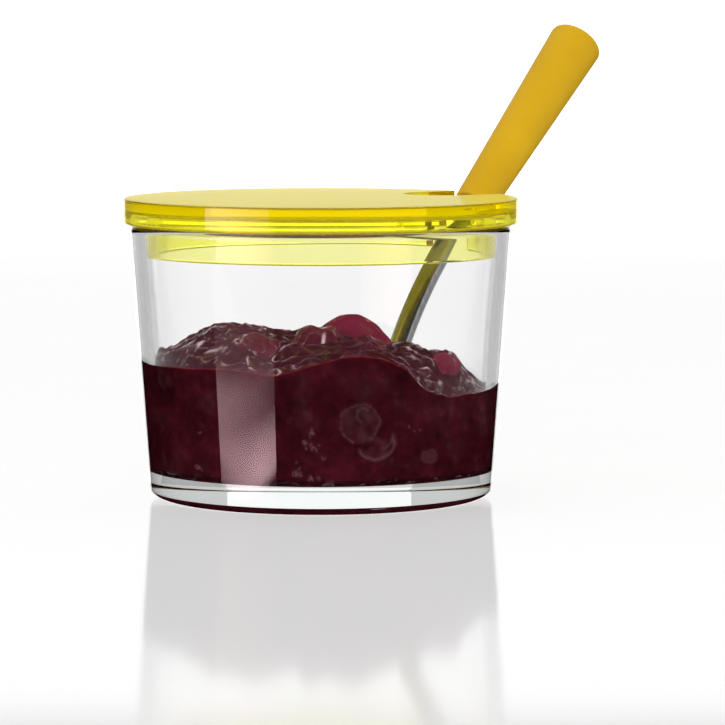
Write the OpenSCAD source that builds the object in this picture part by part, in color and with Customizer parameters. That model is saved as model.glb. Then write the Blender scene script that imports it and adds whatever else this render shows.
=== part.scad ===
// Jam pot: a tapered glass jar filled with berry jam, closed by a transparent
// push-in lid whose edge has a slot for the jam spoon that leans in the jar.
// The origin is on the jar's axis, on the table. +Z is up, -Y is the front.

/* [Jar] */
// Height of the glass jar from the table to its rim
jar_h = 68.3; // [66:0.1:70]
// Outer radius of the wall, carried on to the rim
rim_r = 47.5; // [47:0.1:48]
// Outer radius of the wall, carried on to the table
foot_r = 42.6; // [42:0.1:43.2]
// Thickness of the glass wall
wall_t = 3.5; // [3.2:0.1:3.7]
// Thickness of the glass floor
floor_t = 7.1; // [6.5:0.1:8]
// Height of the rounded outer edge at the table
corner_h = 2.6; // [2:0.1:3.2]
// Width of the rounded outer edge at the table
corner_w = 5.0; // [4:0.1:5.4]
// Radius of the inner edge at the floor
inner_r = 3.2; // [2:0.1:4.5]
// Depth of the hollow under the floor
punt = 1.8; // [1.4:0.1:2.1]

/* [Lid] */
// Outer radius of the lid
lid_r = 49; // [48.6:0.1:50]
// Thickness of the top plate
plate_t = 3.0; // [2.6:0.1:3.2]
// Height of the lid's edge
edge_h = 6.4; // [6:0.1:7]
// Width of the skirt that sits on the rim
skirt_t = 2.8; // [2.5:0.1:3]
// Outer radius of the plug that centres the lid in the jar
plug_r = 43.4; // [43:0.1:43.5]
// Wall of the plug
plug_t = 2.4; // [1.8:0.1:2.8]
// Depth of the plug below the skirt
plug_h = 7.6; // [6:0.1:8.5]
// Rounding of the lid's top edge
top_round = 0.5; // [0.3:0.1:0.8]
// Rounding of the skirt's lower edge
low_round = 0.9; // [0.4:0.1:1.2]

/* [Spoon slot] */
// Direction in which the slot opens, from the right towards the back
slot_az = 33.5; // [32.5:0.5:35]
// Half the width of the slot
slot_w = 9.6; // [9.4:0.1:10]
// Distance of the slot's round end from the lid's centre
slot_c = 36.2; // [35.8:0.1:36.8]
// Thickness of the wall along the slot
slot_wall = 1.6; // [1.2:0.1:2]
// Rounding of the two corners where the slot meets the edge
slot_corner = 1.4; // [1:0.1:2]

/* [Spoon] */
// Diameter of the steel stem
stem_d = 5.3; // [4.8:0.1:5.5]
// Radius of the stem's bend
bend_r = 85; // [80:1:90]
// Length of the bowl's outer egg shape
bowl_len = 35.4; // [33:0.2:35.6]
// Greatest radius of the bowl's outer egg shape
bowl_rad = 13.5; // [12.5:0.1:13.6]
// Thickness of the steel in the bowl
bowl_t = 1.3; // [1:0.1:1.6]

/* [Handle] */
// Diameter of the handle at its lower end
grip_d1 = 10.1; // [9.6:0.1:10.3]
// Diameter of the handle at its top end
grip_d2 = 13.9; // [13:0.1:14.2]
// Length of the handle
grip_len = 58.0; // [54:0.1:59]
// Rounding of the handle's top edge
grip_round = 1.6; // [1:0.1:2.5]

/* [Jam] */
// Height of the jam at the jar's axis, without its mounds
jam_z = 30.6; // [29:0.1:31.5]
// Fall of the jam's surface towards the right, in degrees
jam_tilt = 5.5; // [5:0.1:6.5]

/* [Hidden] */
$fn = 96;
eps = 0.01;

// Taper of the jar's wall
th = atan((rim_r - foot_r) / jar_h);
lid_z0 = jar_h - 0.04;          // underside of the skirt
lid_z1 = lid_z0 + edge_h;       // top of the lid

// The spoon leans towards the back right. Its straight axis crosses z = 74.7 here.
sp_x = 40.46;
sp_y = 24.0;
sp_z = 74.7;
sp_az = atan2(0.70, 0.6718);
sp_lean = acos(0.7177);
bend_z = 59.3;                  // the stem starts to bend at this height
bend_s = (bend_z - sp_z) / cos(sp_lean);
bend_a = 19.2;                  // angle of the bend
bowl_lean = sp_lean - bend_a;
grip_s0 = -4.4;                 // lower end of the handle, measured along the axis
tang_r = 2.2;
tang_len = 36;

// Points of an arc
function arc(cx, cz, r, a0, a1, n) =
    [for (i = [0:n]) let (a = a0 + (a1 - a0) * i / n) [cx + r * cos(a), cz + r * sin(a)]];

// Radius of the jar's outer and inner wall lines at height z
function ro(z) = foot_r + z * tan(th);
function ri(z) = foot_r - wall_t / cos(th) + z * tan(th);

// Inside profile of the jar from the axis up to height z, g = clearance to the glass
function inside_profile(z, g) =
    concat([[0, floor_t + g]],
           arc(ri(floor_t + inner_r) - inner_r / cos(th) - g, floor_t + inner_r + g, inner_r, -90, -th, 8),
           [[ri(z) - g, z], [0, z]]);

module glass_jar() {
    lip = wall_t / 2;
    lip_z = jar_h - lip;
    lip_c = foot_r - lip / cos(th) + lip_z * tan(th);
    color([0.80, 0.84, 0.84, 0.35])
    rotate_extrude($fn = 160)
        polygon(concat(
            [[0, punt], [foot_r - 7.2, punt], [foot_r - 6.6, punt - 0.5], [foot_r - 6.1, 0]],
            [for (i = [0:10]) [foot_r - corner_w + (corner_w + corner_h * tan(th)) * sin(9 * i), corner_h * (1 - cos(9 * i))]],
            arc(lip_c, lip_z, lip, -th, 180 - th, 14),
            arc(ri(floor_t + inner_r) - inner_r / cos(th), floor_t + inner_r, inner_r, -th, -90, 8),
            [[0, floor_t]]));
}

// Outline of the slot with half width w, open past the edge
module slot_2d(w) {
    rotate([0, 0, slot_az]) {
        translate([slot_c, 0]) circle(r = w);
        translate([slot_c, -w]) square([30, 2 * w]);
    }
}

// The sliver that rounds one corner between slot and edge
module corner_2d() {
    r = slot_corner;
    x = sqrt(pow(lid_r - r, 2) - pow(slot_w + r, 2));
    k = lid_r / (lid_r - r);
    difference() {
        polygon([[x, slot_w - 0.2], [lid_r + 1, slot_w - 0.2],
                 [(lid_r + 2) * cos(atan2(slot_w + r, x)), (lid_r + 2) * sin(atan2(slot_w + r, x))],
                 [x, slot_w + r]]);
        translate([x, slot_w + r]) circle(r = r);
    }
}

module lid_profile() {
    // plate with its rounded top edge
    difference() {
        translate([0, lid_z1 - plate_t]) square([lid_r, plate_t]);
        translate([lid_r - top_round, lid_z1 - top_round]) difference() {
            square([top_round + 1, top_round + 1]);
            circle(r = top_round);
        }
    }
    // skirt with its rounded lower edge
    difference() {
        translate([lid_r - skirt_t, lid_z0]) square([skirt_t, edge_h - plate_t + 0.5]);
        translate([lid_r - low_round, lid_z0 + low_round]) rotate(-90) difference() {
            square([low_round + 1, low_round + 1]);
            circle(r = low_round);
        }
    }
    // plug with a slightly eased lower edge
    polygon([[plug_r - plug_t, lid_z1 - plate_t + 0.5], [plug_r - plug_t, lid_z0 - plug_h + 0.3],
             [plug_r - plug_t + 0.3, lid_z0 - plug_h], [plug_r - 0.5, lid_z0 - plug_h],
             [plug_r, lid_z0 - plug_h + 0.5], [plug_r, lid_z1 - plate_t + 0.5]]);
}

module lid() {
    color([0.95, 0.83, 0.12, 0.75])
    difference() {
        union() {
            rotate_extrude($fn = 160) lid_profile();
            // wall along the slot, from the skirt's underside to the plate
            translate([0, 0, lid_z0 + 0.2]) linear_extrude(edge_h - plate_t + 0.3)
                intersection() {
                    slot_2d(slot_w + slot_wall);
                    circle(r = lid_r - low_round, $fn = 160);
                }
        }
        translate([0, 0, lid_z0 - plug_h - 1]) linear_extrude(plug_h + edge_h + 2) slot_2d(slot_w);
        translate([0, 0, lid_z0 - 1]) linear_extrude(edge_h + 2) rotate([0, 0, slot_az]) {
            corner_2d();
            mirror([0, 1]) corner_2d();
        }
    }
}

// Local +Z along the spoon's straight axis, local +X towards the outside of the lean
module on_axis() {
    translate([sp_x, sp_y, sp_z]) rotate([0, 0, sp_az]) rotate([0, sp_lean, 0]) children();
}

// Place children at the lower end of the bend, local +Z up along the bowl's axis
module at_bowl() {
    on_axis() translate([0, 0, bend_s])
        translate([bend_r, 0, 0]) rotate([0, -bend_a, 0]) translate([-bend_r, 0, 0]) children();
}

// Egg outline from radius c outwards, for a shape that is hollow round its axis
function egg(a, r, c, n) =
    let (e = acos(c / r)) [for (i = [0:n]) let (t = -e + 2 * e * i / n) [r * cos(t), a * sin(t)]];

module spoon() {
    cut = 7.4;
    half = bowl_len / 2;
    // the rim plane of the bowl lies on the stem's axis, and its upper end meets the stem
    drop = half * sqrt(1 - pow(cut / bowl_rad, 2));
    color([0.72, 0.72, 0.70]) {
        on_axis() {
            // straight stem, and the tang inside the handle
            rotate_extrude() polygon([[0, bend_s - 1.5], [2, bend_s - 1.5], [2, bend_s], [stem_d / 2, bend_s], [stem_d / 2, grip_s0],
                                      [tang_r, grip_s0], [tang_r, grip_s0 + tang_len], [0, grip_s0 + tang_len]]);
            // bent stem
            translate([bend_r, 0, bend_s]) rotate([90, 0, 0])
                rotate([0, 0, 180]) rotate_extrude(angle = bend_a, $fn = 720)
                    translate([bend_r, 0]) circle(d = stem_d, $fn = 48);
        }
        at_bowl() {
            // shoulder where the stem thins into the bowl
            rotate_extrude() polygon([[0, -6], [1.3, -6], [stem_d / 2, 0], [2, 0], [2, 1.5], [0, 1.5]]);
            // bowl, its hollow towards the upper side of the lean
            translate([-cut, 0, -drop - 1.5]) intersection() {
                rotate_extrude($fn = 96) polygon(concat(
                    egg(half, bowl_rad, cut - 1.5, 28),
                    [for (p = egg(half - bowl_t, bowl_rad - bowl_t, cut - 1.5, 28)) [p[0], -p[1]]]));
                translate([cut, -30, -30]) cube([30, 60, 60]);
            }
        }
    }
}

module spoon_handle() {
    r1 = grip_d1 / 2;
    r2 = grip_d2 / 2;
    b = 0.5;
    color([0.86, 0.68, 0.10])
    on_axis() translate([0, 0, grip_s0]) difference() {
        rotate_extrude($fn = 96) polygon(concat(
            [[0, 0], [r1 - b, 0], [r1, b]],
            arc(r2 - grip_round, grip_len - grip_round - 0.5, grip_round, 0, 80, 8),
            [[0, grip_len]]));
        translate([0, 0, -1]) cylinder(r = tang_r, h = tang_len + 1);
    }
}

// Way the spoon is drawn out, for the room it needs in the jam
pull = [0.449, 0.469, 1];
pull_h = 19;

// Mounds of the jam's surface: [x, y, z, radius]
mounds = [[-21, -2, 26.9, 16], [-8, -6, 27.4, 14], [24, -7, 24.7, 12],
          [-34, 3, 30, 7.6], [6, -20, 24, 15], [-10, 16, 24, 13], [20, 24, 22, 11]];

// Pieces of fruit in the jam: [x, y, z, radius]
berry_at = [[7.5, -5, 36.8, 9.2], [0.3, -15, 37.2, 6.2], [11.2, -17, 38, 4.3],
            [33.5, -10, 30.5, 3.9], [9.7, -34.5, 22.4, 4.6], [14.2, -32.5, 15.4, 3.6]];

module spoon_room(h) {
    // bowl and neck with clearance, swept along the way the spoon is drawn out
    hull() for (k = [0, h]) translate(pull * k) at_bowl() {
        translate([3.5, 0, -16.3]) sphere(r = 4.5, $fn = 20);
        translate([0.6, 9.3, -16.3]) sphere(r = 3.3, $fn = 16);
        translate([0.6, -9.3, -16.3]) sphere(r = 3.3, $fn = 16);
        translate([0.4, 0, -30.4]) sphere(r = 2.9, $fn = 20);
        translate([1.4, 7.2, -24.6]) sphere(r = 3.6, $fn = 16);
        translate([1.4, -7.2, -24.6]) sphere(r = 3.6, $fn = 16);
        translate([1.4, 7.0, -8]) sphere(r = 2.7, $fn = 16);
        translate([1.4, -7.0, -8]) sphere(r = 2.7, $fn = 16);
        translate([0, 0, 0]) sphere(r = 3.4, $fn = 20);
        translate([0.6, 0, 12]) sphere(r = 3.4, $fn = 20);
    }
}

module jam() {
    color([0.30, 0.05, 0.09])
    difference() {
        intersection() {
            rotate_extrude($fn = 160) polygon(inside_profile(56, 0.05));
            union() {
                translate([0, 0, jam_z]) rotate([0, jam_tilt, 0]) translate([-60, -60, -60]) cube([120, 120, 60]);
                for (m = mounds) translate([m[0], m[1], m[2]]) sphere(r = m[3], $fn = 64);
            }
        }
        for (b = berry_at) translate([b[0], b[1], b[2]]) sphere(r = b[3], $fn = 48);
        spoon_room(pull_h);
    }
}

module berries() {
    color([0.42, 0.06, 0.09])
    for (b = berry_at) translate([b[0], b[1], b[2]]) sphere(r = b[3], $fn = 48);
}

glass_jar();
lid();
spoon();
spoon_handle();
jam();
berries();
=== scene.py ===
import bpy
import bmesh
import math
import numpy as np
from mathutils import Matrix, Vector


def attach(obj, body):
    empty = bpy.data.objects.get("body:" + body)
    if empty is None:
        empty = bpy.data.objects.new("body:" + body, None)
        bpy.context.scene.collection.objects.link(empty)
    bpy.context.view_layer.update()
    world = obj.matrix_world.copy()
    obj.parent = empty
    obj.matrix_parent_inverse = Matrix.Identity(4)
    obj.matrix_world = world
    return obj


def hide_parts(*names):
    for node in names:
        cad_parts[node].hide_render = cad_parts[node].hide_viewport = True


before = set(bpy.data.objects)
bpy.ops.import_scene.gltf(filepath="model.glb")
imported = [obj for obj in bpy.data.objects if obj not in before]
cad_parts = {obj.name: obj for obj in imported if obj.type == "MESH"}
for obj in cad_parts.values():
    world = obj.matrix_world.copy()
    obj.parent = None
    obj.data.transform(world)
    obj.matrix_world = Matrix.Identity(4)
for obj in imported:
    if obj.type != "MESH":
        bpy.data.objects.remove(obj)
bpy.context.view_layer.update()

MM = 0.001
SC = bpy.context.scene
pi = math.pi


# ---------------------------------------------------------------- helpers
def arc(cx, cz, r, a0, a1, n):
    """Points of an arc in degrees, ends included."""
    return [(cx + r * math.cos(math.radians(a0 + (a1 - a0) * i / n)),
             cz + r * math.sin(math.radians(a0 + (a1 - a0) * i / n))) for i in range(n + 1)]


def smooth(x, a, b):
    t = np.clip((np.asarray(x, float) - a) / (b - a), 0, 1)
    return t * t * (3 - 2 * t)


def densify(path, step):
    """Adds points to the long straight runs of an open profile, close to their ends too."""
    out = [path[0]]
    for p, q in zip(path, path[1:]):
        d = math.hypot(q[0] - p[0], q[1] - p[1])
        if d > step * 1.5:
            n = max(2, int(math.ceil(d / step)))
            ts = [0.04 * step / d] + [k / n for k in range(1, n)] + [1 - 0.04 * step / d]
            out += [(p[0] + (q[0] - p[0]) * t, p[1] + (q[1] - p[1]) * t) for t in ts]
        out.append(q)
    return out


def add_mesh(name, verts, faces, smooth_faces=True):
    me = bpy.data.meshes.new(name)
    me.from_pydata([tuple(map(float, v)) for v in verts], [], faces)
    me.validate()
    me.update()
    if smooth_faces:
        me.polygons.foreach_set("use_smooth", [True] * len(me.polygons))
    ob = bpy.data.objects.new(name, me)
    SC.collection.objects.link(ob)
    return ob


def lathe(name, profile, n=256, wobble=None):
    """Turns a profile of (r, z) in mm, from axis to axis or closed, about Z. Returns an object in metres."""
    verts, rows = [], []
    closed = profile[0][0] > 1e-6
    for r, z in profile:
        if r <= 1e-6:
            rows.append([len(verts)])
            verts.append((0, 0, z * MM))
        else:
            row = []
            for k in range(n):
                a = 2 * pi * k / n
                rr, zz = (r, z) if wobble is None else wobble(r, z, a)
                row.append(len(verts))
                verts.append((rr * math.cos(a) * MM, rr * math.sin(a) * MM, zz * MM))
            rows.append(row)
    faces = []
    pairs = list(zip(rows, rows[1:])) + ([(rows[-1], rows[0])] if closed else [])
    for a, b in pairs:
        for k in range(n):
            m = (k + 1) % n
            if len(a) == 1:
                faces.append((a[0], b[m], b[k]))
            elif len(b) == 1:
                faces.append((a[k], a[m], b[0]))
            else:
                faces.append((a[k], a[m], b[m], b[k]))
    return add_mesh(name, verts, faces)


def outward(ob):
    bm = bmesh.new()
    bm.from_mesh(ob.data)
    bmesh.ops.recalc_face_normals(bm, faces=bm.faces)
    bm.to_mesh(ob.data)
    bm.free()
    return ob


def by_angle(ob, degrees=35):
    ob.data.polygons.foreach_set("use_smooth", [True] * len(ob.data.polygons))
    ob.data.set_sharp_from_angle(angle=math.radians(degrees))
    return ob


def apply_all(ob):
    """Applies the object's modifiers to its mesh."""
    dg = bpy.context.evaluated_depsgraph_get()
    me = bpy.data.meshes.new_from_object(ob.evaluated_get(dg))
    old = ob.data
    ob.modifiers.clear()
    ob.data = me
    bpy.data.meshes.remove(old)
    return ob


def boolean(ob, other, operation):
    m = ob.modifiers.new("cut", "BOOLEAN")
    m.operation = operation
    m.solver = "EXACT"
    m.object = other
    apply_all(ob)
    me = other.data
    bpy.data.objects.remove(other)
    bpy.data.meshes.remove(me)
    return ob


def prism(name, outline, z0, z1):
    """Upright prism of an outline of (x, y) in mm."""
    n = len(outline)
    verts = [(x * MM, y * MM, z0 * MM) for x, y in outline] + [(x * MM, y * MM, z1 * MM) for x, y in outline]
    faces = [tuple(range(n))[::-1], tuple(range(n, 2 * n))]
    faces += [(k, (k + 1) % n, n + (k + 1) % n, n + k) for k in range(n)]
    return outward(add_mesh(name, verts, faces, False))


# Gradient noise on numpy arrays, with a fixed table, so each run is the same
_rng = np.random.default_rng(7)
_perm = np.tile(_rng.permutation(256), 3)
_grad = _rng.normal(size=(256, 3))
_grad /= np.linalg.norm(_grad, axis=1)[:, None]


def noise(x, y, z=0.0):
    x, y, z = np.broadcast_arrays(np.asarray(x, float), np.asarray(y, float), np.asarray(z, float))
    xi, yi, zi = np.floor(x).astype(int), np.floor(y).astype(int), np.floor(z).astype(int)
    xf, yf, zf = x - xi, y - yi, z - zi
    u, v, w = (t * t * t * (t * (t * 6 - 15) + 10) for t in (xf, yf, zf))
    total = 0
    for dx in (0, 1):
        for dy in (0, 1):
            for dz in (0, 1):
                h = _perm[_perm[_perm[(xi + dx) & 255] + ((yi + dy) & 255)] + ((zi + dz) & 255)]
                g = _grad[h]
                dot = g[..., 0] * (xf - dx) + g[..., 1] * (yf - dy) + g[..., 2] * (zf - dz)
                total = total + dot * (u if dx else 1 - u) * (v if dy else 1 - v) * (w if dz else 1 - w)
    return total * 1.6


# ---------------------------------------------------------------- materials
def new_mat(name):
    m = bpy.data.materials.new(name)
    m.use_nodes = True
    m.node_tree.nodes.clear()
    out = m.node_tree.nodes.new("ShaderNodeOutputMaterial")
    return m, m.node_tree, out


def node(nt, kind, **inputs):
    n = nt.nodes.new(kind)
    for key, value in inputs.items():
        n.inputs[key.replace("_", " ")].default_value = value
    return n


def noise_tex(nt, scale, detail=2.0, rough=0.5, coords="Object", stretch=None):
    tc = nt.nodes.new("ShaderNodeTexCoord")
    t = nt.nodes.new("ShaderNodeTexNoise")
    t.inputs["Scale"].default_value = scale
    t.inputs["Detail"].default_value = detail
    t.inputs["Roughness"].default_value = rough
    if stretch:
        mp = nt.nodes.new("ShaderNodeMapping")
        mp.inputs["Scale"].default_value = stretch
        nt.links.new(tc.outputs[coords], mp.inputs["Vector"])
        nt.links.new(mp.outputs["Vector"], t.inputs["Vector"])
    else:
        nt.links.new(tc.outputs[coords], t.inputs["Vector"])
    return t


def remap(nt, source, a, b, c, d):
    r = nt.nodes.new("ShaderNodeMapRange")
    r.inputs["From Min"].default_value = a
    r.inputs["From Max"].default_value = b
    r.inputs["To Min"].default_value = c
    r.inputs["To Max"].default_value = d
    nt.links.new(source, r.inputs["Value"])
    return r.outputs["Result"]


def ramp(nt, source, stops):
    r = nt.nodes.new("ShaderNodeValToRGB")
    el = r.color_ramp.elements
    while len(el) < len(stops):
        el.new(0.5)
    for e, (pos, col) in zip(el, stops):
        e.position = pos
        e.color = (*col, 1)
    nt.links.new(source, r.inputs["Fac"])
    return r.outputs["Color"]


def bump(nt, height, strength, distance):
    b = nt.nodes.new("ShaderNodeBump")
    b.inputs["Strength"].default_value = strength
    b.inputs["Distance"].default_value = distance
    nt.links.new(height, b.inputs["Height"])
    return b.outputs["Normal"]


def mat_glass():
    m, nt, out = new_mat("clear_glass")
    p = node(nt, "ShaderNodeBsdfPrincipled", Base_Color=(1, 1, 1, 1), IOR=1.5)
    p.inputs["Transmission Weight"].default_value = 1.0
    # the outer face reflects more than the inner one
    tc = nt.nodes.new("ShaderNodeTexCoord")
    xyz = nt.nodes.new("ShaderNodeSeparateXYZ")
    nt.links.new(tc.outputs["Object"], xyz.inputs[0])
    flat = nt.nodes.new("ShaderNodeCombineXYZ")
    nt.links.new(xyz.outputs["X"], flat.inputs["X"])
    nt.links.new(xyz.outputs["Y"], flat.inputs["Y"])
    r_ = nt.nodes.new("ShaderNodeVectorMath")
    r_.operation = "LENGTH"
    nt.links.new(flat.outputs[0], r_.inputs[0])
    q_ = nt.nodes.new("ShaderNodeMath")
    q_.operation = "MULTIPLY_ADD"
    nt.links.new(xyz.outputs["Z"], q_.inputs[0])
    q_.inputs[1].default_value = -0.07174
    nt.links.new(r_.outputs["Value"], q_.inputs[2])
    outer = remap(nt, q_.outputs[0], 0.0405, 0.04155, 0.0, 1.0)
    nt.links.new(ramp(nt, outer, [(0.0, (0.2, 0.2, 0.2)), (1.0, (0.6, 0.6, 0.6))]), p.inputs["Specular Tint"])
    t = noise_tex(nt, 70, 3)
    nt.links.new(remap(nt, t.outputs["Fac"], 0.45, 0.75, 0.0, 0.012), p.inputs["Roughness"])
    v = node(nt, "ShaderNodeVolumeAbsorption", Color=(0.52, 0.57, 0.55, 1), Density=10.0)
    nt.links.new(p.outputs["BSDF"], out.inputs["Surface"])
    nt.links.new(v.outputs["Volume"], out.inputs["Volume"])
    return m


def mat_lid():
    m, nt, out = new_mat("yellow_clear_plastic")
    p = node(nt, "ShaderNodeBsdfPrincipled", Base_Color=(1, 1, 1, 1), IOR=1.5)
    t = noise_tex(nt, 45, 3)
    tc = nt.nodes.new("ShaderNodeTexCoord")
    xyz = nt.nodes.new("ShaderNodeSeparateXYZ")
    nt.links.new(tc.outputs["Object"], xyz.inputs[0])
    p.inputs["Sheen Weight"].default_value = 0.9
    p.inputs["Sheen Roughness"].default_value = 0.25
    p.inputs["Sheen Tint"].default_value = (1.0, 0.86, 0.18, 1)
    satin = remap(nt, xyz.outputs["Z"], 0.07456, 0.07464, 0.0, LID_TOP_ROUGH)
    nt.links.new(remap(nt, xyz.outputs["Z"], 0.07456, 0.07464, 1.0, 1.0 - LID_HAZE), p.inputs["Transmission Weight"])
    cr = ramp(nt, remap(nt, xyz.outputs["Z"], 0.07456, 0.07464, 0.0, 1.0), [(0.0, (1, 1, 1)), (1.0, (1.0, 0.88, 0.06))])
    nt.links.new(cr, p.inputs["Base Color"])
    add = nt.nodes.new("ShaderNodeMath")
    add.operation = "ADD"
    nt.links.new(remap(nt, t.outputs["Fac"], 0.35, 0.75, 0.005, 0.03), add.inputs[0])
    nt.links.new(satin, add.inputs[1])
    nt.links.new(add.outputs[0], p.inputs["Roughness"])
    v = node(nt, "ShaderNodeVolumeAbsorption", Color=(0.9932, 0.9853, 0.0, 1), Density=380.0)
    nt.links.new(p.outputs["BSDF"], out.inputs["Surface"])
    nt.links.new(v.outputs["Volume"], out.inputs["Volume"])
    return m


def mat_steel():
    m, nt, out = new_mat("spoon_steel")
    p = node(nt, "ShaderNodeBsdfPrincipled", Metallic=1.0)
    t = noise_tex(nt, 900, 2, 0.6, stretch=(1, 1, 0.05))
    c = ramp(nt, t.outputs["Fac"], [(0.3, (0.27, 0.27, 0.275)), (0.7, (0.35, 0.35, 0.355))])
    nt.links.new(c, p.inputs["Base Color"])
    nt.links.new(remap(nt, t.outputs["Fac"], 0.3, 0.7, 0.07, 0.14), p.inputs["Roughness"])
    nt.links.new(p.outputs["BSDF"], out.inputs["Surface"])
    return m


def mat_handle():
    m, nt, out = new_mat("yellow_handle")
    p = node(nt, "ShaderNodeBsdfPrincipled", IOR=1.5)
    big = noise_tex(nt, 60, 2)
    fine = noise_tex(nt, 2600, 3, 0.6)
    c = ramp(nt, big.outputs["Fac"], [(0.3, (0.66, 0.385, 0.003)), (0.7, (0.73, 0.43, 0.005))])
    nt.links.new(c, p.inputs["Base Color"])
    nt.links.new(remap(nt, fine.outputs["Fac"], 0.3, 0.7, 0.40, 0.52), p.inputs["Roughness"])
    p.inputs["Specular IOR Level"].default_value = 0.22
    nt.links.new(bump(nt, fine.outputs["Fac"], 0.12, 0.0002), p.inputs["Normal"])
    p.inputs["Subsurface Weight"].default_value = 0.15
    p.inputs["Subsurface Radius"].default_value = (0.004, 0.0025, 0.0004)
    p.inputs["Subsurface Scale"].default_value = 0.4
    nt.links.new(p.outputs["BSDF"], out.inputs["Surface"])
    return m


def mat_jam(name, dark, mid, light, wet_floor=0.05, dull=0.0, open_shade=(1.0, 1.0, 1.0)):
    """Dark glossy jam. Where it lies against the glass it is matt, because the glass wets it."""
    m, nt, out = new_mat(name)
    p = node(nt, "ShaderNodeBsdfPrincipled", IOR=1.42)
    big = noise_tex(nt, 95, 3, 0.6)
    small = noise_tex(nt, 420, 3, 0.6)
    mix = nt.nodes.new("ShaderNodeMath")
    mix.operation = "MULTIPLY_ADD"
    mix.inputs[1].default_value = 0.35
    nt.links.new(small.outputs["Fac"], mix.inputs[0])
    half = nt.nodes.new("ShaderNodeMath")
    half.operation = "MULTIPLY"
    half.inputs[1].default_value = 0.65
    nt.links.new(big.outputs["Fac"], half.inputs[0])
    nt.links.new(half.outputs[0], mix.inputs[2])
    c = ramp(nt, mix.outputs[0], [(0.32, dark), (0.52, mid), (0.72, light)])
    tone = nt.nodes.new("ShaderNodeAttribute")
    tone.attribute_name = "tone"
    pale = nt.nodes.new("ShaderNodeMix")
    pale.data_type = "RGBA"
    for k_, sock in enumerate(pale.inputs):
        if sock.type == "RGBA" and sock.name == "A":
            nt.links.new(c, sock)
        if sock.type == "RGBA" and sock.name == "B":
            sock.default_value = (0.30, 0.155, 0.175, 1)
    nt.links.new(tone.outputs["Fac"], pale.inputs["Factor"])
    # painted highlights: a pale lilac is painted into the colour where this attribute is set (fold ridges of the open
    # top, streaks and glints on the fruit), in place of glints
    painted_highlight_attr = nt.nodes.new("ShaderNodeAttribute")
    painted_highlight_attr.attribute_name = "painted_highlight"
    painted_highlight = nt.nodes.new("ShaderNodeMix")
    painted_highlight.data_type = "RGBA"
    for sock in painted_highlight.inputs:
        if sock.type == "RGBA" and sock.name == "A":
            nt.links.new([o for o in pale.outputs if o.type == "RGBA"][0], sock)
        if sock.type == "RGBA" and sock.name == "B":
            sock.default_value = (0.70, 0.52, 0.57, 1)
    nt.links.new(painted_highlight_attr.outputs["Fac"], painted_highlight.inputs["Factor"])
    at = nt.nodes.new("ShaderNodeAttribute")
    at.attribute_name = "against_glass"
    # painted shade: away from the glass the colour is multiplied by a darker tint, so the open top is a shaded copy of
    # the jam lit through the glass
    open_shade_mix = nt.nodes.new("ShaderNodeMix")
    open_shade_mix.data_type = "RGBA"
    open_shade_mix.blend_type = "MULTIPLY"
    for sock in open_shade_mix.inputs:
        if sock.type == "RGBA" and sock.name == "A":
            nt.links.new([o for o in pale.outputs if o.type == "RGBA"][0], sock)
        if sock.type == "RGBA" and sock.name == "B":
            sock.default_value = (*open_shade, 1)
    nt.links.new(remap(nt, at.outputs["Fac"], 0, 0.8, 1.0, 0.0), open_shade_mix.inputs["Factor"])
    for sock in painted_highlight.inputs:
        if sock.type == "RGBA" and sock.name == "A":
            nt.links.new([o for o in open_shade_mix.outputs if o.type == "RGBA"][0], sock)
    nt.links.new([o for o in painted_highlight.outputs if o.type == "RGBA"][0], p.inputs["Base Color"])
    # wetter and duller patches, and nothing where the glass wets it
    wet = nt.nodes.new("ShaderNodeMath")
    wet.operation = "MULTIPLY"
    nt.links.new(remap(nt, at.outputs["Fac"], 0, 1, 1.0, 0.0), wet.inputs[0])
    nt.links.new(remap(nt, small.outputs["Fac"], 0.56, 0.60, dull, 0.50), wet.inputs[1])
    nt.links.new(wet.outputs[0], p.inputs["Specular IOR Level"])
    nt.links.new(remap(nt, at.outputs["Fac"], 0, 1, wet_floor, 0.6), p.inputs["Roughness"])
    bm_ = nt.nodes.new("ShaderNodeBump")
    bm_.inputs["Distance"].default_value = 0.0004
    nt.links.new(remap(nt, at.outputs["Fac"], 0, 0.5, 0.45, 0.0), bm_.inputs["Strength"])
    nt.links.new(small.outputs["Fac"], bm_.inputs["Height"])
    nt.links.new(bm_.outputs["Normal"], p.inputs["Normal"])
    p.inputs["Subsurface Weight"].default_value = 0.25
    p.inputs["Subsurface Radius"].default_value = (0.0030, 0.0006, 0.0008)
    p.inputs["Subsurface Scale"].default_value = 1.0
    nt.links.new(p.outputs["BSDF"], out.inputs["Surface"])
    return m


def mat_plain(name, colour, rough):
    m, nt, out = new_mat(name)
    p = node(nt, "ShaderNodeBsdfPrincipled", Roughness=rough, IOR=1.5)
    t = noise_tex(nt, 12, 2)
    c = ramp(nt, t.outputs["Fac"], [(0.3, colour), (0.7, tuple(min(1, x * 1.01) for x in colour))])
    nt.links.new(c, p.inputs["Base Color"])
    nt.links.new(p.outputs["BSDF"], out.inputs["Surface"])
    return m


def mat_emit(name, colour, strength):
    m, nt, out = new_mat(name)
    e = node(nt, "ShaderNodeEmission", Color=(*colour, 1), Strength=strength)
    nt.links.new(e.outputs[0], out.inputs["Surface"])
    return m


LID_TOP_ROUGH, LID_HAZE = 0.20, 0.46
GLASS, LID, STEEL, HANDLE = mat_glass(), mat_lid(), mat_steel(), mat_handle()
# the open_shade tint is painted shade that darkens the open top of the jam
JAM = mat_jam("dark_jam", (0.040, 0.0046, 0.0090), (0.084, 0.0086, 0.0160), (0.140, 0.0160, 0.0270), open_shade=(0.55, 0.85, 0.75))
FRUIT = mat_jam("red_fruit", (0.120, 0.010, 0.024), (0.165, 0.015, 0.034), (0.21, 0.022, 0.045))
DARK_FRUIT = mat_jam("red_fruit_dark", (0.062, 0.0065, 0.014), (0.090, 0.010, 0.021), (0.13, 0.016, 0.031), dull=0.10)
SEED = mat_plain("seed", (0.34, 0.16, 0.11), 0.35)

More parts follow.
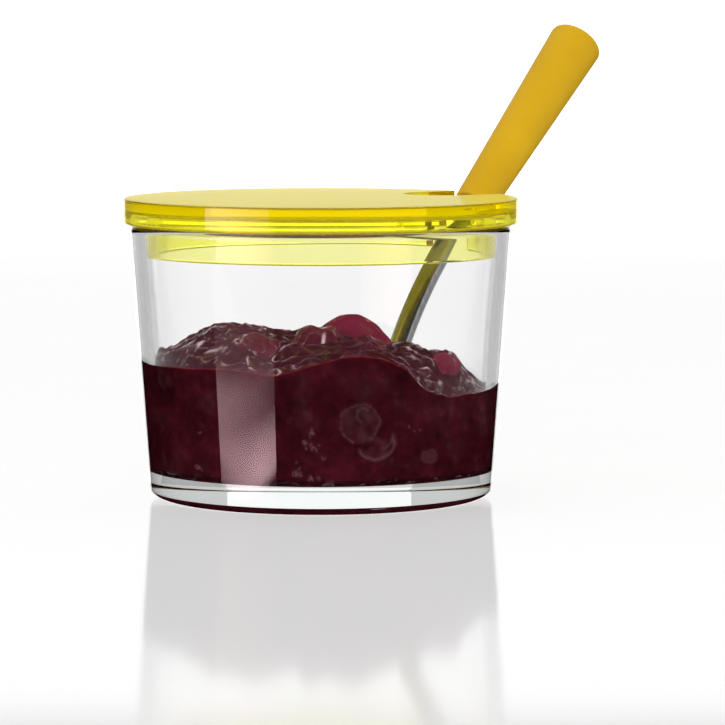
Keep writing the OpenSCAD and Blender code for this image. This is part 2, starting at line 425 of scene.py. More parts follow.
# ---------------------------------------------------------------- glass jar
JAR_H, RIM_R, FOOT_R, WALL, FLOOR = 68.3, 47.5, 42.6, 3.5, 7.1
CORNER_H, CORNER_W, INNER, PUNT, RING = 2.6, 5.0, 3.2, 1.8, 6.1
TH = math.atan((RIM_R - FOOT_R) / JAR_H)
THD = math.degrees(TH)


def ro(z):
    return FOOT_R + z * math.tan(TH)


def ri(z):
    return FOOT_R - WALL / math.cos(TH) + z * math.tan(TH)


lip = WALL / 2
lip_z = JAR_H - lip
lip_c = FOOT_R - lip / math.cos(TH) + lip_z * math.tan(TH)
profile = ([(0, PUNT)] + [(r, PUNT) for r in (8, 16, 22, 27, 31, 35)] +
           arc(FOOT_R - RING - 1.1, PUNT - 0.6, 0.6, 90, 15, 6) + [(FOOT_R - RING - 0.22, 0.15), (FOOT_R - RING, 0.0)] +
           [(FOOT_R - CORNER_W + (CORNER_W + CORNER_H * math.tan(TH)) * math.sin(k * pi / 48),
             CORNER_H * (1 - math.cos(k * pi / 48))) for k in range(25)] +
           arc(lip_c, lip_z, lip, -THD, 180 - THD, 28) +
           arc(ri(FLOOR + INNER) - INNER / math.cos(TH), FLOOR + INNER, INNER, -THD, -90, 14) +
           [(30, FLOOR), (20, FLOOR), (10, FLOOR), (0, FLOOR)])
profile = densify(profile, 2.0)


def glass_wobble(r, z, a):
    """A pressed jar isn't perfectly true: its inner wall and floor are off by a few hundredths of a millimetre."""
    inner = r < ri(z) + 0.8 and z > FLOOR - 0.2
    k = 0.035 if inner else 0.006
    d = (math.sin(3 * a + z * 0.05) * 0.5 + math.sin(7 * a + 1.3 + z * 0.11) * 0.3 + math.sin(2 * a - z * 0.21) * 0.4)
    return r + k * d, z


jar = outward(lathe("glass_jar_clear", profile, 288, glass_wobble))
jar.data.materials.append(GLASS)
jar.visible_shadow = False      # clear glass casts no shadow of its own
jar.visible_diffuse = False
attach(jar, "jar"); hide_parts("glass_jar")

# ---------------------------------------------------------------- lid
LID_R, PLATE, EDGE, SKIRT = 49.0, 3.0, 6.4, 2.8
PLUG_R, PLUG_T, PLUG_H = 43.4, 2.4, 7.6
Z0 = JAR_H - 0.04
Z1 = Z0 + EDGE
AZ, HW, SC_R, SLOT_WALL, SLOT_CORNER = math.radians(33.5), 9.6, 36.2, 1.6, 1.4
# closed profile from the axis: top, edge, skirt, groove, plug, underside
lp = ([(0, Z1)] + [(r, Z1) for r in (10, 20, 30, 40, 46)] + arc(LID_R - 0.5, Z1 - 0.5, 0.5, 90, 0, 5) +
      arc(LID_R - 0.9, Z0 + 0.9, 0.9, 0, -90, 7) +
      [(LID_R - SKIRT + 0.15, Z0), (LID_R - SKIRT, Z0 + 0.15)] +
      arc(LID_R - SKIRT - 0.35, Z1 - PLATE - 0.35, 0.35, 0, 90, 3) +
      arc(PLUG_R + 0.35, Z1 - PLATE - 0.35, 0.35, 90, 180, 3) +
      [(PLUG_R, Z0 - PLUG_H + 0.5), (PLUG_R - 0.15, Z0 - PLUG_H + 0.15), (PLUG_R - 0.5, Z0 - PLUG_H),
       (PLUG_R - PLUG_T + 0.3, Z0 - PLUG_H), (PLUG_R - PLUG_T + 0.08, Z0 - PLUG_H + 0.08),
       (PLUG_R - PLUG_T, Z0 - PLUG_H + 0.3)] +
      arc(PLUG_R - PLUG_T - 0.35, Z1 - PLATE - 0.35, 0.35, 0, 90, 3) +
      [(r, Z1 - PLATE) for r in (36, 30, 20, 10)] + [(0, Z1 - PLATE)])
lp = densify(lp, 3.0)
lid = outward(lathe("lid_yellow_clear", lp, 300))


def turned(points):
    c, s = math.cos(AZ), math.sin(AZ)
    return [(x * c - y * s, x * s + y * c) for x, y in points]


def slot_outline(w, far):
    n = 40
    left = [(SC_R + w * math.cos(pi / 2 + pi * k / n), w * math.sin(pi / 2 + pi * k / n)) for k in range(n + 1)]
    return left + [(far, -w), (far, w)]


# wall along the slot, inside the skirt and the plug
w = HW + SLOT_WALL
r_in = LID_R - 1.2
x_in = math.sqrt(r_in ** 2 - w ** 2)
n = 40
wall = [(SC_R + w * math.cos(pi / 2 + pi * k / n), w * math.sin(pi / 2 + pi * k / n)) for k in range(n + 1)]
a_end = math.atan2(w, x_in)
wall += [(r_in * math.cos(-a_end + 2 * a_end * k / 12), r_in * math.sin(-a_end + 2 * a_end * k / 12)) for k in range(13)]
boolean(lid, prism("slot_wall", turned(wall), Z0 + 0.2, Z1 - PLATE + 0.6), "UNION")
# the slot, its two corners at the edge rounded
r = SLOT_CORNER
x = math.sqrt((LID_R - r) ** 2 - (HW + r) ** 2)
phi = math.atan2(HW + r, x)
cut = [(SC_R + HW * math.cos(pi / 2 + pi * k / n), HW * math.sin(pi / 2 + pi * k / n)) for k in range(n + 1)]
low = [(x + r * math.cos(t), -(HW + r) + r * math.sin(t)) for t in np.linspace(pi / 2, -phi, 9)]
end = (LID_R + 3) * math.cos(phi), (LID_R + 3) * math.sin(phi)
cut += low + [(end[0], -end[1]), (LID_R + 12, -end[1]), (LID_R + 12, end[1]), (end[0], end[1])]
cut += [(px, -py) for px, py in low[::-1]]
boolean(lid, prism("slot_cut", turned(cut), Z0 - PLUG_H - 2, Z1 + 2), "DIFFERENCE")
bm = bmesh.new()
bm.from_mesh(lid.data)
bmesh.ops.remove_doubles(bm, verts=bm.verts, dist=2e-6)
bm.to_mesh(lid.data)
bm.free()
by_angle(lid, 32)
lid.data.materials.clear()
lid.data.materials.append(LID)
lid.visible_shadow = False
lid.visible_diffuse = False
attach(lid, "lid_body"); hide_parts("lid")

# ---------------------------------------------------------------- spoon
P0 = np.array([40.46, 24.0, 74.7])
AZS = math.atan2(0.70, 0.6718)
LEAN = math.acos(0.7177)
D = np.array([math.sin(LEAN) * math.cos(AZS), math.sin(LEAN) * math.sin(AZS), math.cos(LEAN)])
EX = np.array([math.cos(LEAN) * math.cos(AZS), math.cos(LEAN) * math.sin(AZS), -math.sin(LEAN)])
EY = np.array([-math.sin(AZS), math.cos(AZS), 0.0])
STEM_R, BEND_R, BEND_A = 2.65, 85.0, 19.2
BEND_S = (59.3 - 74.7) / D[2]
GRIP_S0, GRIP_LEN = -4.4, 58.0
CEN = P0 + D * BEND_S + EX * BEND_R
t = math.radians(BEND_A)
BX = EX * math.cos(t) + D * math.sin(t)      # local x at the bowl
BD = D * math.cos(t) - EX * math.sin(t)      # local z at the bowl, up along it
B0 = CEN - BX * BEND_R
HALF, RAD, CUT, BT = 17.7, 13.5, 7.4, 1.3
DROP = HALF * math.sqrt(1 - (CUT / RAD) ** 2)

NS = 64


def ring_circle(r):
    return [(r * math.cos(2 * pi * (k + 0.5) / NS - pi / 2), r * math.sin(2 * pi * (k + 0.5) / NS - pi / 2)) for k in range(NS)]


def ring_bowl(z):
    """Crescent section of the bowl at local height z. The first half runs along the outside from -y to +y."""
    q = (z + DROP + 1.5)
    ro2 = max(1e-6, 1 - (q / HALF) ** 2)
    po = RAD * math.sqrt(ro2)
    zi = min(abs(q), HALF - BT - 1e-3)
    pin = min((RAD - BT) * math.sqrt(1 - (zi / (HALF - BT)) ** 2), po - 0.25)
    ho = math.acos(min(1, CUT / max(po, CUT + 1e-4)))
    hi = math.acos(min(1, CUT / max(pin, CUT + 1e-4)))
    n2 = NS // 2
    pts = []
    for k in range(n2):
        a = -ho + 2 * ho * (k + 0.5) / n2
        pts.append((-CUT + max(po, CUT + 0.05) * math.cos(a), max(po, CUT + 0.05) * math.sin(a)))
    for k in range(n2):
        a = hi - 2 * hi * (k + 0.5) / n2
        pts.append((-CUT + max(pin, CUT + 0.02) * math.cos(a), max(pin, CUT + 0.02) * math.sin(a)))
    return pts


sections = []  # (centre, x axis, y axis, ring)
for s in (0.0, -2.0, GRIP_S0, -6, -9, -12, -15, -18, BEND_S + 0.8, BEND_S):
    sections.append((P0 + D * s, EX, EY, ring_circle(STEM_R)))
for k in range(1, 25):
    a = t * k / 24
    x_, d_ = EX * math.cos(a) + D * math.sin(a), D * math.cos(a) - EX * math.sin(a)
    sections.append((CEN - x_ * BEND_R, x_, EY, ring_circle(STEM_R)))
zs = list(np.linspace(-0.6, -11, 27)) + list(np.linspace(-11.8, -26, 20)) + list(-31.15 + 5.0 * (1 - np.sin(np.linspace(0.15, 0.985, 16) * pi / 2)))
for z in zs:
    k = float(smooth(-z, 1.2, 9.0))
    thin = 1 - 0.42 * float(smooth(-z, 0, 5.0))
    c = [(0.55 * x_, y_) for x_, y_ in ring_circle(STEM_R)] if z < -5 else None
    flat = 1 - 0.45 * float(smooth(-z, 0, 5.0))
    circ = [(x_ * flat, y_ * (1 - 0.12 * float(smooth(-z, 0, 3.5)))) for x_, y_ in ring_circle(STEM_R)]
    bowl = ring_bowl(min(z, -2.0))
    ring = [(p[0] * (1 - k) + q[0] * k, p[1] * (1 - k) + q[1] * k) for p, q in zip(circ, bowl)]
    sections.append((B0 + BD * z, BX, EY, ring))
verts, faces = [], []
for centre, ax, ay, ring in sections:
    for u, v in ring:
        verts.append((centre + ax * u + ay * v) * MM)
for i in range(len(sections) - 1):
    for k in range(NS):
        m = (k + 1) % NS
        faces.append((i * NS + k, i * NS + m, (i + 1) * NS + m, (i + 1) * NS + k))
faces.append(tuple(range(NS)))
last = (len(sections) - 1) * NS
faces.append(tuple(last + k for k in range(NS)))
spoon = outward(add_mesh("spoon_steel_stem_and_bowl", verts, faces))
by_angle(spoon, 50)
spoon.data.materials.append(STEEL)
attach(spoon, "spoon_body"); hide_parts("spoon")

# handle
R1, R2 = 5.05, 6.95
hp = ([(0, 0), (STEM_R + 0.1, 0.0), (R1 - 0.55, 0.0)] + arc(R1 - 0.5, 0.5, 0.5, -90, 0, 5) +
      arc(R2 - 1.6, GRIP_LEN - 2.1, 1.6, 0, 78, 9) + [(R2 * 0.5, GRIP_LEN - 0.16), (R2 * 0.25, GRIP_LEN - 0.04), (0, GRIP_LEN)])
hp = densify(hp, 2.5)
handle = outward(lathe("spoon_handle_yellow", hp, 128))
rot = Matrix([[EX[0], EY[0], D[0]], [EX[1], EY[1], D[1]], [EX[2], EY[2], D[2]]]).to_4x4()
handle.data.transform(Matrix.Translation(Vector((P0 + D * GRIP_S0) * MM)) @ rot)
handle.data.update()
by_angle(handle, 50)
handle.data.materials.append(HANDLE)
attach(handle, "spoon_body"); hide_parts("spoon_handle")

# ---------------------------------------------------------------- jam
# outline of the jam against the background, and its line on the front glass: x and height in mm
SIL = np.array([(-42, 34.5), (-41, 35.0), (-39.9, 37.4), (-37, 37.3), (-34, 39.0), (-29.9, 41.2), (-26.5, 42.4),
                (-22.5, 42.9), (-19, 42.8), (-16, 42.3), (-12.8, 41.8), (-10, 41.2), (-7, 41.0), (-4, 41.4),
                (0, 41.6), (5, 41.5), (10, 40.2), (14, 38.6), (18, 38.0), (22.5, 38.0), (25, 37.0), (28, 36.5), (30.5, 35.9),
                (33.3, 34.6), (35, 32.6), (37.5, 30.2), (40.3, 28.4), (42, 27.2)])
CON = np.array([(-42, 33.4), (-24, 34.3), (-17, 33.9), (-10.6, 33.1), (-7.5, 34.0), (-2, 35.7), (4.9, 37.6), (10, 38.0), (15, 37.2), (20, 34.6),
                (22.5, 31.5), (25, 28.6), (30, 26.6), (37, 26.7), (42, 27.0)])


def plane_z(x, y):
    return 30.6 - x * math.tan(math.radians(5.5))


def folds(x, y):
    """Ridged noise on warped coordinates: two sizes of fold, and lumps."""
    wx = x + 3.0 * noise(x / 11 + 3.1, y / 11 + 8.2)
    wy = y + 3.0 * noise(x / 11 + 9.7, y / 11 + 1.4)
    r1 = 1 - np.abs(noise(wx / 9.0, wy / 6.0, 2.2)) * 2.2
    r2 = 1 - np.abs(noise(wx / 4.2 + 7, wy / 3.2 + 5, 4.1)) * 2.2
    return r1, r2, noise(x / 7.5 + 20, y / 7.5 + 11, 1.0)


def jam_height(x, y):
    x, y = np.asarray(x, float), np.asarray(y, float)
    sil = np.interp(x, SIL[:, 0], SIL[:, 1])
    con = np.interp(x, CON[:, 0], CON[:, 1])
    yr = -7 + 3.0 * np.sin(x * 0.16 + 0.6)
    rad = 41.6
    yw = np.sqrt(np.maximum(rad ** 2 - x ** 2, 0.25))
    yr = np.clip(yr, -yw * 0.6, yw * 0.6)
    top = sil + 0.083 * (-yr)
    tf = np.clip((y + yw) / np.maximum(yr + yw, 0.5), 0, 1)     # 0 at the front glass, 1 on the ridge
    front = con + (top - con) * np.sin(tf * pi / 2) ** 1.15
    back_w = plane_z(x, y) - 0.6
    tb = np.clip((y - yr) / np.maximum(yw - yr, 0.5), 0, 1)
    back = top + (back_w - top) * smooth(tb, 0.05, 0.95)
    h = np.where(y < yr, front, back)
    r1, r2, lump = folds(x, y)
    edge = smooth(np.hypot(x, y), rad + 0.3, rad - 3.5)          # calmer where it meets the glass
    h = h + edge * (1.15 * (r1 - 0.40) + 0.60 * (r2 - 0.40) + 0.8 * lump) - 0.35 * edge
    h = h + 0.10 * noise(x / 1.4, y / 1.4, 7.0) * edge
    return h


NA, NR = 720, 150
C_MM = 0.09   # how far the jam wets into the glass surface


def wall_r(z):
    return ri(z) + C_MM


verts, rows = [(0.0, 0.0, float(jam_height(0, 0)))], []
ang = np.arange(NA) * 2 * pi / NA
ca, sa = np.cos(ang), np.sin(ang)
# find where the top meets the glass
rim = np.full(NA, 41.5)
for _ in range(6):
    rim = wall_r(jam_height(rim * ca, rim * sa))
zr = jam_height(rim * ca, rim * sa)
fr = (np.arange(1, NR + 1) / NR) ** 0.85
men = 0.9   # rise of the jam where it clings to the glass
for i, f in enumerate(fr):
    rr = rim * f
    zz = jam_height(rr * ca, rr * sa) + men * np.exp(-(rim - rr) / 0.8)
    if i == NR - 1:
        rr = wall_r(zz)
    rows.append(len(verts))
    verts += list(zip(rr * ca, rr * sa, zz))
top_end = rows[-1]
ztop = np.array([verts[top_end + k][2] for k in range(NA)])
# down the wall, round the inner corner, to the floor
corner = arc(ri(FLOOR + INNER) - INNER / math.cos(TH), FLOOR + INNER, INNER, -THD, -90, 8)
for g in np.linspace(0, 1, 72)[1:]:
    zz = ztop + (corner[0][1] - ztop) * g
    rr = wall_r(zz)
    rows.append(len(verts))
    verts += list(zip(rr * ca, rr * sa, zz))
for cr, cz in corner[1:] + [(30, FLOOR), (20, FLOOR), (10, FLOOR)]:
    rows.append(len(verts))
    verts += list(zip((cr + C_MM) * ca, (cr + C_MM) * sa, np.full(NA, cz - C_MM)))
bottom = len(verts)
verts.append((0, 0, FLOOR - C_MM))
faces = [(0, rows[0] + k, rows[0] + (k + 1) % NA) for k in range(NA)]
for a, b in zip(rows, rows[1:]):
    faces += [(a + k, b + k, b + (k + 1) % NA, a + (k + 1) % NA) for k in range(NA)]
faces += [(rows[-1] + k, bottom, rows[-1] + (k + 1) % NA) for k in range(NA)]
jam = outward(add_mesh("jam_mass", [(x_ * MM, y_ * MM, z_ * MM) for x_, y_, z_ in verts], faces))

# room in which the spoon is drawn out
PULL = np.array([0.449, 0.469, 1.0])
balls = [((3.5, 0, -16.3), 4.1), ((0.6, 9.3, -16.3), 2.9), ((0.6, -9.3, -16.3), 2.9), ((0.4, 0, -30.2), 2.2),
         ((1.4, 7.0, -24.6), 2.8), ((1.4, -7.0, -24.6), 2.8), ((1.4, 7.0, -8), 2.6), ((1.4, -7.0, -8), 2.6),
         ((0, 0, 0), 3.3), ((0.6, 0, 12), 3.3)]
bm = bmesh.new()
for (u, v, w_), rad_ in balls:
    for h_ in (0.0, 22.0):
        c_ = B0 + BX * u + EY * v + BD * w_ + PULL * h_
        bmesh.ops.create_icosphere(bm, subdivisions=2, radius=rad_ * MM, matrix=Matrix.Translation(Vector(c_ * MM)))
res = bmesh.ops.convex_hull(bm, input=bm.verts)
junk = [e for e in res["geom_interior"] + res["geom_unused"] if isinstance(e, bmesh.types.BMVert)]
bmesh.ops.delete(bm, geom=junk, context="VERTS")
me = bpy.data.meshes.new("room")
bm.to_mesh(me)
bm.free()
room = bpy.data.objects.new("room", me)
SC.collection.objects.link(room)
outward(room)
boolean(jam, room, "DIFFERENCE")


def wet_attribute(ob):
    co = np.empty(len(ob.data.vertices) * 3)
    ob.data.vertices.foreach_get("co", co)
    co = co.reshape(-1, 3) / MM
    r_ = np.hypot(co[:, 0], co[:, 1])
    w_ = np.clip((r_ - (ri(co[:, 2]) - 0.35)) / 0.3, 0, 1)
    w_ = np.maximum(w_, (co[:, 2] < FLOOR + 0.3).astype(float))
    at = ob.data.attributes.new("against_glass", "FLOAT", "POINT")
    at.data.foreach_set("value", w_.astype(np.float32))


def arc_mask(x, z, cx, cz, r_, w, a0, a1, soft=18):
    """Soft band along an arc of a circle, angles in degrees."""
    d = np.hypot(x - cx, z - cz)
    a = (np.degrees(np.arctan2(z - cz, x - cx)) - a0) % 360
    span = (a1 - a0) % 360 or 360
    ends = np.clip(a / soft, 0, 1) * np.clip((span - a) / soft, 0, 1) if span < 360 else (a > -1)
    return np.exp(-((d - r_) / w) ** 2) * ends * (a < span)


def tone_attribute(ob):
    """Paler skins, bubbles and clouds of the fruit that lies against the front glass, in mm on the inner wall, and
    painted highlights on the ridges of the open top.
    """
    co = np.empty(len(ob.data.vertices) * 3)
    ob.data.vertices.foreach_get("co", co)
    co = co.reshape(-1, 3) / MM
    x, y, z = co[:, 0], co[:, 1], co[:, 2]
    wet = (np.hypot(x, y) > ri(z) - 0.3) & (z > FLOOR)
    front = wet & (y < 0)
    n1 = noise(x / 2.6 + 3, y / 2.6, z / 2.6)
    n2 = noise(x / 0.9 + 9, y / 0.9, z / 0.9)
    n3 = noise(x / 7.0 + 1, y / 7.0 + 4, z / 7.0)
    wx, wz = x + 0.5 * n1, z + 0.5 * noise(x / 2.2, y / 2.2 + 7, z / 2.2)
    t_ = np.zeros(len(x))
    # the round piece with its skin, and a curled skin under it
    t_ += 0.13 * smooth(np.hypot(wx - 9.4, wz - 22.6), 4.8, 4.0) * (0.8 + 0.8 * n1)
    t_ += 0.30 * arc_mask(wx, wz, 9.4, 22.6, 4.6, 0.30, 0, 360) * (0.65 + 0.9 * n2)
    t_ += 0.22 * arc_mask(wx, wz, 10.2, 24.4, 1.7, 0.30, 40, 260)
    t_ += 0.34 * arc_mask(wx, wz, 13.2, 18.0, 4.3, 0.38, 200, 20)
    t_ += 0.12 * smooth(np.hypot(wx - 13.0, (wz - 16.4) * 1.2), 3.9, 2.6) * (0.7 + 1.0 * n1)
    t_ += 0.16 * arc_mask(wx, wz, 14.6, 19.0, 2.6, 0.28, 250, 30)
    t_ += 0.15 * smooth(np.hypot(wx - 25.6, wz - 13.6), 2.0, 1.4) + 0.12 * arc_mask(wx, wz, 25.6, 13.6, 1.8, 0.2, 0, 360)
    # small bubbles in clusters
    rng = np.random.default_rng(5)
    for cx, cz, n_, spread, size in ((-2.0, 18.1, 9, 1.2, 0.30), (-1.6, 20.0, 5, 0.8, 0.28), (-4.9, 11.6, 7, 1.0, 0.26),
                                     (-1.4, 8.9, 5, 0.9, 0.26), (-28.5, 10.2, 3, 0.7, 0.22), (0.9, 15.6, 2, 0.7, 0.25),
                                     (-21.0, 26.0, 2, 1.6, 0.25), (22.0, 22.0, 3, 2.0, 0.25), (-31.0, 21.0, 2, 1.5, 0.2)):
        for _ in range(n_):
            bx, bz = cx + spread * rng.normal() * 0.7, cz + spread * rng.normal()
            t_ += 0.42 * arc_mask(x, z, bx, bz, size * (1 + rng.random()), 0.20, rng.random() * 360, rng.random() * 360 + 200)
    # larger clouds: pieces of fruit just behind the glass
    t_ += 0.035 * smooth(n3, 0.05, 0.55) + 0.05 * smooth(n1 + 0.4 * n3, 0.45, 0.75)
    t_ += 0.05 * smooth(x, 18, 30) * smooth(z, 14, 22) * (0.6 + n1)
    t_ = np.where(front, t_, 0.0)
    # no tone on the open surface; its ridges get painted highlights below
    open_ = (np.hypot(x, y) < ri(z) - 0.3) & (z > 20)
    t_ = np.where(open_, 0.0, t_)
    at = ob.data.attributes.new("tone", "FLOAT", "POINT")
    at.data.foreach_set("value", np.clip(t_, 0, 0.6).astype(np.float32))
    # painted highlights: pale streaks along the fold ridges of the open top, most at the left and right
    r1, r2, _ = folds(x, y)
    side_ = smooth(-x, 2, 11) + 1.15 * smooth(x, 15, 21) + 0.12
    painted_glint = (0.64 * smooth(r1, 0.84, 1.0) ** 1.5 + 0.28 * smooth(r2, 0.86, 1.0)) * side_ * np.clip(0.45 + 0.5 * n2 + 1.5 * n1, 0, 1) * smooth(y, 12, -4)
    painted_glint = np.where(open_, painted_glint * smooth(np.hypot(x, y), 41.2, 39.5), 0.0)
    at = ob.data.attributes.new("painted_highlight", "FLOAT", "POINT")
    at.data.foreach_set("value", np.clip(painted_glint, 0, 0.9).astype(np.float32))


by_angle(jam, 55)
tone_attribute(jam)
jam.data.materials.clear()
jam.data.materials.append(JAM)
wet_attribute(jam)
jam.visible_shadow = False
jam.visible_diffuse = False
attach(jam, "jar"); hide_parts("jam")


# ---------------------------------------------------------------- fruit
def fruit(name, centre, size, seed, rough=0.06, mat=None, glint=None, level=6, peak=None):
    bm = bmesh.new()
    bmesh.ops.create_icosphere(bm, subdivisions=level, radius=1.0)
    co = np.array([v.co[:] for v in bm.verts])
    n1 = noise(co[:, 0] * 1.3 + seed, co[:, 1] * 1.3, co[:, 2] * 1.3)
    n2 = noise(co[:, 0] * 3.1 + seed, co[:, 1] * 3.1 + 5, co[:, 2] * 3.1)
    n3 = 1 - 2 * np.abs(noise(co[:, 0] * 1.7 + seed, co[:, 1] * 1.7 + 3, co[:, 2] * 1.7))
    co = co * (1 + rough * 1.6 * n1 + rough * 0.5 * n2 + rough * 0.8 * (n3 - 0.5))[:, None]
    co = co * np.array(size) + np.array(centre)
    if peak is not None:
        # a blunt ridge instead of a round top, steeper on the right
        dx = co[:, 0] - peak
        soft = np.sqrt(dx ** 2 + 0.3)
        f_ = np.clip(1.11 - 0.023 * (soft + dx) - 0.0115 * (soft - dx), 0.75, 1.11)
        co[:, 2] = np.where(co[:, 2] > centre[2], centre[2] + (co[:, 2] - centre[2]) * f_, co[:, 2])
    # keep it inside the glass
    r_ = np.hypot(co[:, 0], co[:, 1])
    lim = ri(co[:, 2]) + C_MM + 0.01
    k = np.minimum(1, lim / np.maximum(r_, 1e-6))
    co[:, 0] *= k
    co[:, 1] *= k
    for v, c_ in zip(bm.verts, co):
        v.co = Vector(c_ * MM)
    me = bpy.data.meshes.new(name)
    bm.to_mesh(me)
    bm.free()
    me.polygons.foreach_set("use_smooth", [True] * len(me.polygons))
    ob = bpy.data.objects.new(name, me)
    SC.collection.objects.link(ob)
    ob.data.materials.append(mat or FRUIT)
    wet_attribute(ob)
    # painted highlights: a narrow pale streak along the ridges of the dark pieces, and a painted glint patch where one
    # is given
    painted_glint = (0.22 if mat else 0.0) * smooth(n3, 0.93, 1.0)
    if glint:
        gx, gz, gw, gh, gs = glint
        painted_glint = painted_glint + gs * np.exp(-((co[:, 0] - gx - 0.12 * (co[:, 2] - gz)) / gw) ** 4 - ((co[:, 2] - gz) / gh) ** 4) * (co[:, 1] < centre[1])
    at = ob.data.attributes.new("painted_highlight", "FLOAT", "POINT")
    at.data.foreach_set("value", np.clip(painted_glint, 0, 0.9).astype(np.float32))
    return ob


pieces = [fruit("fruit_dome", (7.2, -6.6, 36.4), (12.1, 7.2, 9.3), 1.0, 0.045, peak=9.3),
          fruit("fruit_left", (-0.4, -16, 37.6), (7.0, 6.0, 6.3), 4.0, 0.12, DARK_FRUIT, (0.8, 41.0, 0.42, 1.5, 0.8)),
          fruit("fruit_mid", (11.2, -17, 38.0), (4.4, 4.2, 4.2), 9.0, 0.12, DARK_FRUIT),
          fruit("fruit_fold", (-15.0, -22, 36.9), (6.3, 6.0, 5.8), 23.0, 0.11, DARK_FRUIT, (-16.4, 37.9, 1.2, 1.0, 0.45)),
          fruit("fruit_right", (29.8, -15.5, 33.6), (3.6, 3.6, 4.0), 12.0, 0.12),
          fruit("fruit_right_b", (33.8, -13, 29.6), (2.6, 2.6, 2.8), 31.0, 0.12, DARK_FRUIT)]
for p_ in pieces:
    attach(p_, "jar")
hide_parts("berries")

# ---------------------------------------------------------------- floor, light, camera
floor = add_mesh("floor", [(-2.5, -2.5, -0.00006), (2.5, -2.5, -0.00006), (2.5, 2.5, -0.00006), (-2.5, 2.5, -0.00006)], [(0, 1, 2, 3)], False)
fm, fnt, fout = new_mat("floor_white")
fd = node(fnt, "ShaderNodeBsdfDiffuse")
fg = node(fnt, "ShaderNodeBsdfGlossy", Color=(1, 1, 1, 1), Roughness=0.08)
ft = noise_tex(fnt, 12, 2)
fnt.links.new(ramp(fnt, ft.outputs["Fac"], [(0.3, (0.855, 0.85, 0.85)), (0.7, (0.865, 0.86, 0.86))]), fd.inputs["Color"])
fx = node(fnt, "ShaderNodeMixShader", Fac=0.24)
fnt.links.new(fd.outputs[0], fx.inputs[1])
fnt.links.new(fg.outputs[0], fx.inputs[2])
fnt.links.new(fx.outputs[0], fout.inputs["Surface"])
floor.data.materials.append(fm)
floor.visible_glossy = False


def panel(name, centre, normal, width, height, colour, strength):
    """A glowing panel that faces along normal."""
    nrm = Vector(normal).normalized()
    side = nrm.cross(Vector((0, 0, 1))).normalized()
    up = side.cross(nrm).normalized()
    c_ = Vector(centre)
    corners = [c_ + side * (sx * width / 2) + up * (sz * height / 2) for sx, sz in ((-1, -1), (1, -1), (1, 1), (-1, 1))]
    ob = add_mesh(name, corners, [(0, 1, 2, 3)], False)
    ob.data.materials.append(mat_emit(name, colour, strength))
    return ob


panel("backdrop", (0, 1.3, 0.0), (0, -1, 0), 1.0, 0.80, (1, 1, 1), 1.45)
top = panel("softbox_top", (-0.12, -0.05, 1.0), (0, 0, -1), 0.62, 0.62, (1, 1, 1), 6.6)
top.visible_transmission = False
# soft fill from the front, for matt surfaces only
fill = panel("fill_front", (0.3, -1.6, 1.1), (-0.2, 1, -0.6), 1.8, 1.2, (1, 1, 1), 2.2)
fill.visible_camera = False
fill.visible_glossy = False
fill.visible_transmission = False
fill.visible_shadow = False
# grey card behind the lid, seen only in reflections, and a dark one in front, seen in reflections and through the clear parts
grey = panel("card_behind", (0, 0.2, 0.491), (0, -1, 0), 0.30, 0.80, (1, 1, 1), 0.34)
dark = panel("card_front", (0, -1.2, 0.6), (0, 1, 0), 5.0, 1.6, (1, 1, 1), 0.07)
for ob_, hide in ((grey, ("camera", "diffuse", "shadow")), (dark, ("camera", "diffuse", "shadow"))):
    for kind_ in hide:
        setattr(ob_, "visible_" + kind_, False)
# dark ceiling, seen only in reflections and through the clear parts
ceiling = panel("ceiling_dark", (0, 0, 1.25), (0, 0, -1), 4.0, 4.0, (1, 1, 1), 0.12)
ceiling.visible_camera = False
ceiling.visible_diffuse = False
ceiling.visible_shadow = False
# reflection card at the front left: it gives the glass its bright strip
ang_ = math.radians(46.8)
card = panel("card_left", (-0.40 * math.sin(ang_), -0.40 * math.cos(ang_), 0.10), (math.sin(ang_), math.cos(ang_), 0), 0.28, 0.60, (1, 1, 1), 1.0)
cm = card.data.materials[0].node_tree
em = next(n_ for n_ in cm.nodes if n_.type == "EMISSION")
tc_ = cm.nodes.new("ShaderNodeTexCoord")
sx_ = cm.nodes.new("ShaderNodeSeparateXYZ")
cm.links.new(tc_.outputs["Object"], sx_.inputs[0])
pz = remap(cm, sx_.outputs["Z"], -0.10, 0.10, 0.0, 1.0)
along = cm.nodes.new("ShaderNodeVectorMath")
along.operation = "DOT_PRODUCT"
along.inputs[1].default_value = (math.cos(ang_), -math.sin(ang_), 0)
cm.links.new(tc_.outputs["Object"], along.inputs[0])
ps = remap(cm, along.outputs["Value"], -0.14, 0.14, 0.0, 1.0)


def grey_ramp(stops, source):
    return ramp(cm, source, [(a_, (b_, b_, b_)) for a_, b_ in stops])


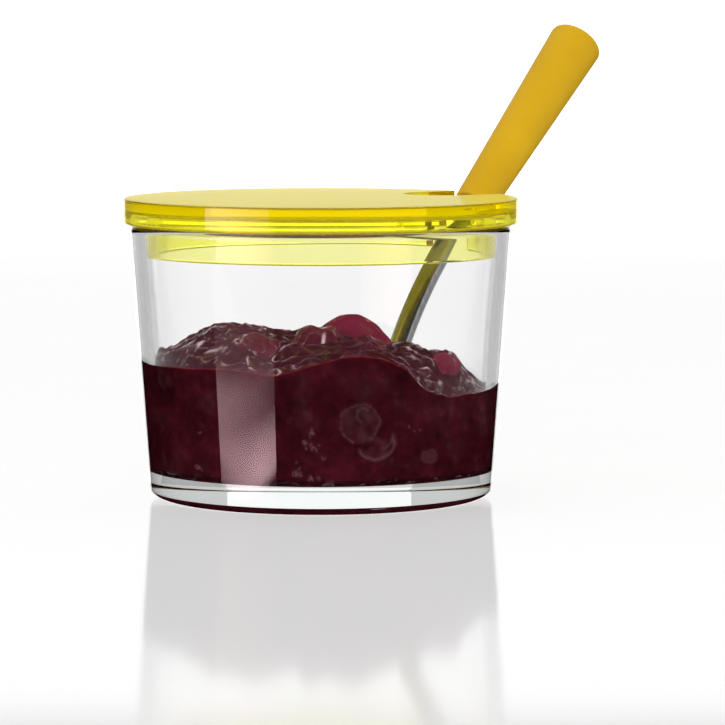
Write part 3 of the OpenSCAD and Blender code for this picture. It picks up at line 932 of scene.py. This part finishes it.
def maths(op, a_, b_):
    n_ = cm.nodes.new("ShaderNodeMath")
    n_.operation = op
    cm.links.new(a_, n_.inputs[0])
    if isinstance(b_, float):
        n_.inputs[1].default_value = b_
    else:
        cm.links.new(b_, n_.inputs[1])
    return n_.outputs[0]


low_ = maths("MULTIPLY", grey_ramp([(0.055, 0.05), (0.080, 0.85), (0.10, 0.80), (0.14, 0.40), (0.18, 0.0)], pz), grey_ramp([(0.0, 0.10), (0.35, 0.50), (0.72, 1.0), (0.95, 0.80), (1.0, 0.70)], ps))
high_ = maths("MULTIPLY", grey_ramp([(0.07, 0.0), (0.13, 0.34), (0.23, 0.34), (0.29, 0.05), (0.50, 0.05), (0.62, 0.22), (0.72, 0.22)], pz), grey_ramp([(0.0, 1.0), (0.4, 0.9), (1.0, 0.25)], ps))
cm.links.new(maths("MULTIPLY", maths("ADD", low_, high_), 19.5), em.inputs["Strength"])
em.inputs["Color"].default_value = (1.0, 0.64, 0.70, 1)
card.visible_camera = False
card.visible_diffuse = False
card.visible_shadow = False

world = bpy.data.worlds.new("studio")
SC.world = world
world.use_nodes = True
bg = world.node_tree.nodes["Background"]
bg.inputs["Color"].default_value = (1, 1, 1, 1)
bg.inputs["Strength"].default_value = 0.88
world.cycles_visibility.glossy = False

cam_data = bpy.data.cameras.new("camera")
cam_data.sensor_fit = "HORIZONTAL"
cam_data.sensor_width = 36.0
cam_data.lens = 36.0 * 4351.8 / 725.0
cam_data.clip_start = 0.05
cam_data.clip_end = 20
cam = bpy.data.objects.new("camera", cam_data)
SC.collection.objects.link(cam)
cam.location = (0.010337, -1.080, 0.13047)
cam.rotation_euler = (pi / 2 - 0.089519, 0, 0)
SC.camera = cam

SC.view_settings.view_transform = "Standard"
SC.view_settings.look = "None"
SC.view_settings.exposure = 0.0
SC.cycles.use_denoising = True
SC.cycles.max_bounces = 32
SC.cycles.transmission_bounces = 32
SC.cycles.glossy_bounces = 16
SC.cycles.diffuse_bounces = 6
SC.cycles.transparent_max_bounces = 16
SC.cycles.caustics_reflective = True
SC.cycles.caustics_refractive = True
SC.cycles.sample_clamp_indirect = 12.0
SC.cycles.seed = 3

bpy.context.view_layer.update()
